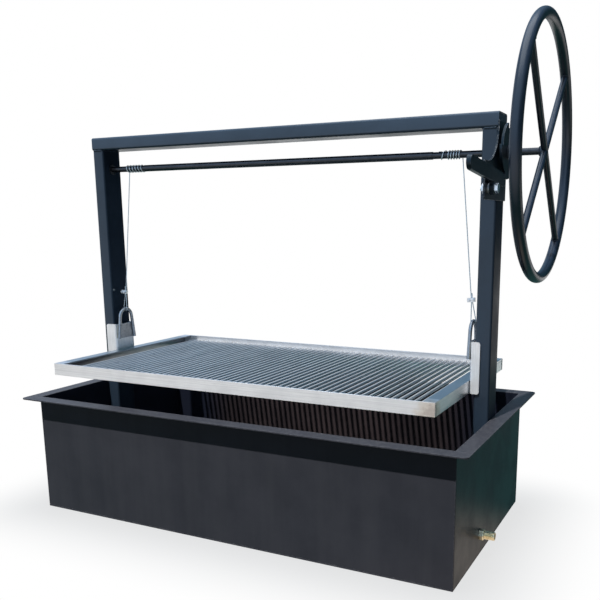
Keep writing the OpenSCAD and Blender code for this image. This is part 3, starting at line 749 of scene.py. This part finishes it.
def wind_x(side, k):
    """Place along the shaft after k turns from where the cable leaves."""
    if side < 0:
        return k * LEFT_LEAD - LEAVE_X
    return LEAVE_X - min(k, TURNS - 1) * RIGHT_LEAD - max(k - TURNS + 1, 0) * RIGHT_SLANT


def wind_point(side, k):
    """Centre of the cable after k turns."""
    turn = 2 * math.pi * k
    return Vector((wind_x(side, k), WIND_R * math.cos(turn), AXIS_Z + WIND_R * math.sin(turn)))


def hoop_top(side):
    """Centre of the rod at the top of a hoop."""
    low, high = span("left_hoop" if side < 0 else "right_hoop")
    return Vector(((low.x + high.x) / 2, 0, high.z - HOOP_R))


def eye_point(side, out, up):
    """Place in the plane of an eye, which leans towards the shaft, from the top of its hoop."""
    top = hoop_top(side)
    tilt = math.atan2(side * top.x - LEAVE_X, AXIS_Z - top.z)
    across = out * math.cos(tilt) - up * math.sin(tilt)
    return top + Vector((side * across, 0, out * math.sin(tilt) + up * math.cos(tilt)))


def cable_foot(side):
    """Where the hanging cable enters its clamp."""
    return eye_point(side, -STRAND, CLAMP_RISE + CLAMP_HALF)


def cable_head(side):
    """Where the hanging cable takes over from the winding."""
    leave = wind_point(side, 0)
    return leave + (cable_foot(side) - leave).normalized() * 2 * CABLE_R


def winding_path(side):
    """From the anchor, round the shaft, to the straight end."""
    coil = [wind_point(side, i / RINGS) for i in range(TURNS * RINGS, -1, -1)]
    return [coil[0] + Vector((0, 0, 2 * CABLE_R))] + coil + [cable_head(side)]


def eye_path(side):
    """From the free tail, down through the clamp, under the hoop and up to the hanging cable."""
    reach = HOOP_R + CABLE_R + SLACK
    rise = CLAMP_RISE - CLAMP_HALF
    lean = math.asin(reach / math.hypot(rise, STRAND)) - math.atan(STRAND / rise)
    sweep = math.pi + 2 * lean
    flat = [(STRAND, rise + 2 * CLAMP_HALF + TAIL), (STRAND, rise)]
    angles = [lean - sweep * i / RINGS for i in range(RINGS + 1)]
    flat += [(reach * math.cos(angle), reach * math.sin(angle)) for angle in angles]
    flat += [(-STRAND, rise), (-STRAND, rise + 2 * CLAMP_HALF)]
    return [eye_point(side, out, up) for out, up in flat]


def cable_mesh(name, path):
    """Stranded cable along a path."""
    return run_tree(name, path_curve(name, [path]), CABLE_TREE, CABLE)


def cable(name, path, body, node):
    """Cable that rides on one body."""
    add_piece(name, cable_mesh(name, path), body, "wire", node)


# Where the lengths of a hanging cable begin and end, before a smooth step spreads them
STRETCH_STEPS = (0.05, 0.083, 0.138, 0.23, 0.77, 0.862, 0.917, 0.95)


def hanging_cable(name, side, node):
    """Straight cable in lengths, spaced along the hanging run by a smooth step."""
    head, foot = cable_head(side), cable_foot(side)
    shares = [t * t * (3 - 2 * t) for t in STRETCH_STEPS]
    stops = [head.lerp(foot, (w - shares[0]) / (shares[-1] - shares[0])) for w in shares]
    for i in range(len(stops) - 1):
        top, low = stops[i], stops[i + 1]
        label = f"{name}_{i + 1}"
        piece = new_object(label, cable_mesh(label, [top, low]))
        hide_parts(node)
        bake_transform(piece)


for side, label in ((-1, "left"), (1, "right")):
    cable(label + "_wound_cable", winding_path(side), "wheel", label + "_winding")
    cable(label + "_eye_loop", eye_path(side), "grate", label + "_eye")
    hanging_cable(label + "_hanging_cable", side, label + "_lift_cable")


# Grate bars

BAR_PITCH = 18.5 * MM
BAR_COUNT = int((BARS_HIGH.x - BARS_LOW.x) / BAR_PITCH) + 1
BAR_R = (BARS_HIGH.x - BARS_LOW.x - BAR_PITCH * (BAR_COUNT - 1)) / 2


def make_bars():
    """One round bar with chamfered ends and a flat underside, repeated along the grate."""
    columns = 24
    chamfer = 0.8 * MM
    stations = [(BARS_LOW.y, BAR_R - chamfer), (BARS_LOW.y + chamfer, BAR_R),
                (BARS_HIGH.y - chamfer, BAR_R), (BARS_HIGH.y, BAR_R - chamfer)]
    verts = []
    for y, radius in stations:
        for k in range(columns):
            lean = 2 * math.pi * (k + 0.5) / columns
            height = BARS_HIGH.z - BAR_R + radius * math.sin(lean)
            verts.append(Vector((radius * math.cos(lean), y, max(height, BARS_LOW.z))))
    faces = ring_faces(len(stations), columns) + end_faces(len(verts), columns)
    bar = mesh_from("grate_bar", verts, faces, BAR_STEEL)
    smooth(bar, 40.0)
    mesh = run_tree("round_bars", bar, ROW_TREE, {
        "Count": BAR_COUNT, "Pitch": (BAR_PITCH, 0, 0),
        "Start": (-BAR_PITCH * (BAR_COUNT - 1) / 2, 0, 0), "Finish": BAR_STEEL})
    add_piece("round_bars", mesh, "grate", "stainless", "grate_bars")


make_bars()


# Brass fitting with a threaded stub

FIT_LOW, FIT_HIGH = span("fitting_body")
FIT_Y = (FIT_LOW.y + FIT_HIGH.y) / 2
FIT_Z = (FIT_LOW.z + FIT_HIGH.z) / 2
FIT_R = 10.5 * MM
FIT_BORE = 8 * MM
HEX_R = 13.9 * MM
HEX_LOW = FLOOR_HIGH.x
HEX_HIGH = HEX_LOW + 11 * MM
THREAD = 1.8 * MM
THREAD_DEPTH = 0.8 * MM


def make_fitting():
    """Turned stub with a screw thread and bore, and a chamfered hexagon on the wall."""
    columns = 36
    chamfer = 0.5 * MM
    x = HEX_HIGH + 2 * MM
    profile = [(FIT_LOW.x, FIT_BORE), (FIT_LOW.x, FIT_R - chamfer)]
    profile += [(FIT_LOW.x + chamfer, FIT_R), (x, FIT_R)]
    while x + THREAD < FIT_HIGH.x - 1 * MM:
        profile += [(x + THREAD / 2, FIT_R - THREAD_DEPTH), (x + THREAD, FIT_R)]
        x += THREAD
    profile += [(FIT_HIGH.x - 0.7 * MM, FIT_R - 0.3 * MM), (FIT_HIGH.x, FIT_R - 1 * MM)]
    profile += [(FIT_HIGH.x, FIT_BORE)]
    verts = [point for x, radius in profile for point in x_ring(x, FIT_Y, FIT_Z, radius, columns)]
    faces = ring_faces(len(profile), columns, closed=True)
    stub = mesh_from("fitting_stub", verts, faces, BRASS)
    smooth(stub, 30.0)
    add_piece("fitting_stub", stub, "frame", "brass", "fitting_body")
    sides = 6
    rings = [(HEX_LOW, HEX_R), (HEX_HIGH - 1.2 * MM, HEX_R), (HEX_HIGH, HEX_R * 0.88)]
    verts = [point for x, radius in rings for point in x_ring(x, FIT_Y, FIT_Z, radius, sides)]
    faces = ring_faces(len(rings), sides) + end_faces(len(verts), sides)
    hexagon = mesh_from("fitting_hexagon", verts, faces, BRASS)
    soften(add_piece("fitting_hexagon", hexagon, "frame", "brass"), 0.5 * MM)


make_fitting()


# Welds of the frame and the grate


def line(*points):
    """Path through points given in metres."""
    return [Vector(p) for p in points]


HOOP_SPLAY = math.radians(7.5)
LEG_WELD = 4.4 * MM


def frame_weld_paths():
    """Where posts meet the beam, the floor and the side plate."""
    paths = []
    low, high = POST_LOW, POST_HIGH
    front, back = low.y - 0.4 * MM, high.y + 0.4 * MM
    top, foot = BEAM_LOW.z - 0.4 * MM, low.z + 1 * MM
    inset = 6 * MM
    for side in (-1, 1):
        inner, outer = side * (low.x + inset), side * (high.x - inset)
        face = side * (low.x - 0.6 * MM)
        for y in (front, back):
            for z in (top, foot):
                paths.append(line((inner, y, z), (outer, y, z)))
        for z in (top, foot):
            paths.append(line((face, low.y + inset, z), (face, high.y - inset, z)))
    x, y = high.x - 1.6 * MM, low.y - 0.3 * MM
    paths.append(line((x, y, PLATE_LOW.z + 4 * MM), (x, y, BEAM_LOW.z - 12 * MM)))
    return paths


def grate_weld_paths():
    """Corners of the grate, and where guides and hoops join it."""
    paths = []
    corner_x = RAIL_HIGH.x
    corner_y = -RAIL_LOW.y - 4 * MM
    low, high = RAIL_LOW.z + 1.5 * MM, RAIL_HIGH.z - 1.5 * MM
    for x in (-corner_x, corner_x):
        for y in (-corner_y, corner_y):
            paths.append(line((x, y, low), (x, y, high)))
    for side, guide, hoop in ((-1, "left_guide", "left_hoop"), (1, "right_guide", "right_hoop")):
        g_low, g_high = span(guide)
        h_low, h_high = span(hoop)
        web = side * corner_x
        for y in (g_low.y + 9 * MM, g_high.y - 9 * MM):
            paths.append(line((web, y, low), (web, y, high)))
        start = h_low.z + 3 * MM
        rise = g_high.z - h_low.z - 6 * MM
        foot = h_high.y - HOOP_R
        head = foot - math.tan(HOOP_SPLAY) * rise
        face = web - side * 1.0 * MM
        for way in (-1, 1):
            for offset in (-LEG_WELD, LEG_WELD):
                paths.append(line(
                    (face, way * foot + offset, start), (face, way * head + offset, start + rise)))
    return paths


weld("frame_welds", "frame", FRAME_PAINT, "frame_paint", frame_weld_paths(), bead=1.9 * MM, seed=7)
weld("grate_welds", "grate", STAINLESS_WELD, "stainless", grate_weld_paths(), bead=1.5 * MM, seed=11)


# Floor, light and camera

WHITE = (1, 1, 1, 1)
DARK_GROUND = (0.070, 0.205, 0.200, 1)
WARM_GROUND = (0.84, 0.77, 0.69, 1)
SUNNY_BEHIND = (1.05, 1.05, 1.06, 1)
SUNNY_FRONT = (0.92, 0.94, 0.97, 1)
LOW_SKY = (0.62, 0.73, 0.86, 1)
HIGH_SKY = (0.15, 0.29, 0.52, 1)
FRONT_SKY = (0.78, 1.10, 1.50, 1)
DARK_BANK = (0.022, 0.065, 0.080, 1)
HAZY_BANK = (0.09, 0.20, 0.29, 1)


def ground_seen(tree, place):
    """Painted ground that reflections see: sunny in front and far behind, warm by the right wall, else
    dark.
    """
    spot = axes(tree, place)
    front = ranged(tree, spot["Y"], -1.0, -1.7)
    away = vector_math(tree, "LENGTH", place)["Value"]
    behind = times(tree, ranged(tree, away, 2.2, 2.9), ranged(tree, spot["Y"], 0.0, 0.8))
    beside = ranged(tree, vector_math(tree, "DISTANCE", place, (0.72, -0.2, 0.0))["Value"], 0.5, 0.15)
    ground = mixed(tree, beside, DARK_GROUND, WARM_GROUND)
    ground = mixed(tree, behind, ground, SUNNY_BEHIND)
    return mixed(tree, front, ground, SUNNY_FRONT)


def make_floor():
    """Plain pale floor that keeps the shadow close to the object and is white beyond; to other rays it
    glows, a painted ground in reflections and a dim painted bounce.
    """
    size = 12.0
    mesh = bpy.data.meshes.new("studio_floor")
    corners = [(-size, -size, 0), (size, -size, 0), (size, size, 0), (-size, size, 0)]
    mesh.from_pydata(corners, [], [(0, 1, 2, 3)])
    floor = new_object("studio_floor", mesh)
    floor.location.z = -0.5 * MM
    material, tree, shader = new_finish("studio_floor")
    path = tree.nodes.new("ShaderNodeLightPath").outputs
    shader.inputs["Base Color"].default_value = (0.95, 0.95, 0.95, 1)
    shader.inputs["Roughness"].default_value = 0.9
    shader.inputs["Specular IOR Level"].default_value = 0.1
    place = own_place(tree)
    # Painted reflection and bounce: glossy rays see the glowing painted ground, other rays a dim glow
    ground = mixed(tree, path["Is Glossy Ray"], (0.10, 0.095, 0.09, 1), ground_seen(tree, place))
    glow = add_node(tree, "ShaderNodeEmission", {
        "Color": mixed(tree, path["Is Camera Ray"], ground, WHITE), "Strength": 1.0}).outputs[0]
    folded = vector_math(tree, "ABSOLUTE", place)[0]
    outside = vector_math(tree, "SUBTRACT", folded, FLOOR_HIGH)[0]
    clear = vector_math(tree, "MAXIMUM", outside, (0, 0, 0))[0]
    away = vector_math(tree, "LENGTH", clear)["Value"]
    unseen = math_node(tree, "SUBTRACT", 1.0, path["Is Camera Ray"])
    share = math_node(tree, "MAXIMUM", ranged(tree, away, 0.0, 0.3, 0.72, 1.0), unseen)
    blend = add_node(tree, "ShaderNodeMixShader", {0: share})
    tree.links.new(shader.outputs[0], blend.inputs[1])
    tree.links.new(glow, blend.inputs[2])
    tree.links.new(blend.outputs[0], tree.nodes["Material Output"].inputs["Surface"])
    mesh.materials.append(material)
    return floor


def make_world():
    """Soft studio light; the camera sees white, and reflections see a cool sky and a dark bank."""
    world = bpy.data.worlds.new("studio")
    bpy.context.scene.world = world
    world.use_nodes = True
    tree = world.node_tree
    tree.nodes.clear()
    way = tree.nodes.new("ShaderNodeTexCoord").outputs["Generated"]
    spot = axes(tree, way)
    sky = mixed(tree, ranged(tree, spot["Z"], 0.0, 0.8), LOW_SKY, HIGH_SKY)
    front = times(tree, ranged(tree, spot["Y"], 0.1, -0.5), ranged(tree, spot["Z"], 0.0, 0.25))
    sky = mixed(tree, front, sky, FRONT_SKY)
    rear = times(tree, ranged(tree, spot["X"], -0.62, -0.15), ranged(tree, spot["Y"], -0.35, 0.1))
    aside = math_node(tree, "MAXIMUM", rear, ranged(tree, spot["X"], 0.3, 0.75))
    bank = times(tree, aside, ranged(tree, spot["Z"], 0.80, 0.40))
    haze = times(tree, ranged(tree, spot["Z"], 0.06, 0.26), ranged(tree, spot["X"], 0.05, -0.20))
    bank_colour = mixed(tree, haze, DARK_BANK, HAZY_BANK)
    shade = mixed(tree, bank, sky, bank_colour)
    path = tree.nodes.new("ShaderNodeLightPath").outputs
    seen = mixed(tree, path["Is Camera Ray"], shade, WHITE)
    backdrop = add_node(tree, "ShaderNodeBackground", {"Color": seen, "Strength": 1.0}).outputs[0]
    lighting = add_node(tree, "ShaderNodeBackground", {
        "Color": (0.55, 0.78, 1.0, 1), "Strength": 0.14}).outputs[0]
    straight = math_node(tree, "ADD", path["Is Camera Ray"], path["Is Glossy Ray"])
    factor = math_node(tree, "ADD", straight, path["Is Transmission Ray"], clamp=True)
    blend = add_node(tree, "ShaderNodeMixShader", {0: factor})
    tree.links.new(lighting, blend.inputs[1])
    tree.links.new(backdrop, blend.inputs[2])
    output = tree.nodes.new("ShaderNodeOutputWorld")
    tree.links.new(blend.outputs[0], output.inputs["Surface"])


def area_light(name, place, aim, size, power, colour):
    """Soft box that looks at a point."""
    lamp = bpy.data.lights.new(name, "AREA")
    lamp.shape = "RECTANGLE"
    lamp.size, lamp.size_y = size
    lamp.energy = power
    lamp.color = colour
    holder = new_object(name, lamp)
    holder.location = place
    holder.rotation_euler = (Vector(aim) - Vector(place)).to_track_quat("-Z", "Y").to_euler()


FOCAL_PX = 749.87
CENTRE_PX = (338.53, 377.95)
IMAGE_PX = 600
SENSOR = 36.0
CAMERA_PLACE = (1.0384, -1.7645, 0.7957)
CAMERA_TURN = (25.981, 78.183, -0.274)


def make_camera():
    """Camera at the photograph's place and angle."""
    lens = bpy.data.cameras.new("photo_camera")
    lens.sensor_width = SENSOR
    lens.lens = FOCAL_PX * SENSOR / IMAGE_PX
    lens.shift_x = (IMAGE_PX / 2 - CENTRE_PX[0]) / IMAGE_PX
    lens.shift_y = (CENTRE_PX[1] - IMAGE_PX / 2) / IMAGE_PX
    lens.clip_end = 60.0
    camera = new_object("photo_camera", lens)
    camera.location = CAMERA_PLACE
    yaw, pitch, roll = (math.radians(angle) for angle in CAMERA_TURN)
    turned = Matrix.Rotation(yaw, 3, "Z") @ Matrix.Rotation(pitch, 3, "X") @ Matrix.Rotation(roll, 3, "Z")
    camera.rotation_euler = turned.to_euler()
    bpy.context.scene.camera = camera


def sun_lamp(name, travel, power, spread, colour, left_out):
    """Far lamp along a direction, on everything but one object, and not seen in reflections."""
    lamp = bpy.data.lights.new(name, "SUN")
    lamp.energy = power
    lamp.angle = math.radians(spread)
    lamp.color = colour
    holder = new_object(name, lamp)
    holder.rotation_euler = Vector(travel).to_track_quat("-Z", "Y").to_euler()
    holder.visible_glossy = False
    unlit = bpy.data.collections.new(name + "_leaves_out")
    unlit.objects.link(left_out)
    unlit.collection_objects[0].light_linking.link_state = "EXCLUDE"
    holder.light_linking.receiver_collection = unlit


FLOOR = make_floor()
make_world()
area_light("top_box", place=(0.0, 0.0, 3.6), aim=(0, 0, 0), size=(3.0, 3.0), power=60.0,
    colour=(0.92, 0.97, 1.0))
sun_lamp("key_lamp", travel=(0.117, 0.555, -1.0), power=4.2, spread=1.2, colour=(1.0, 0.97, 0.93),
    left_out=FLOOR)
make_camera()
bpy.context.scene.view_settings.view_transform = "Standard"
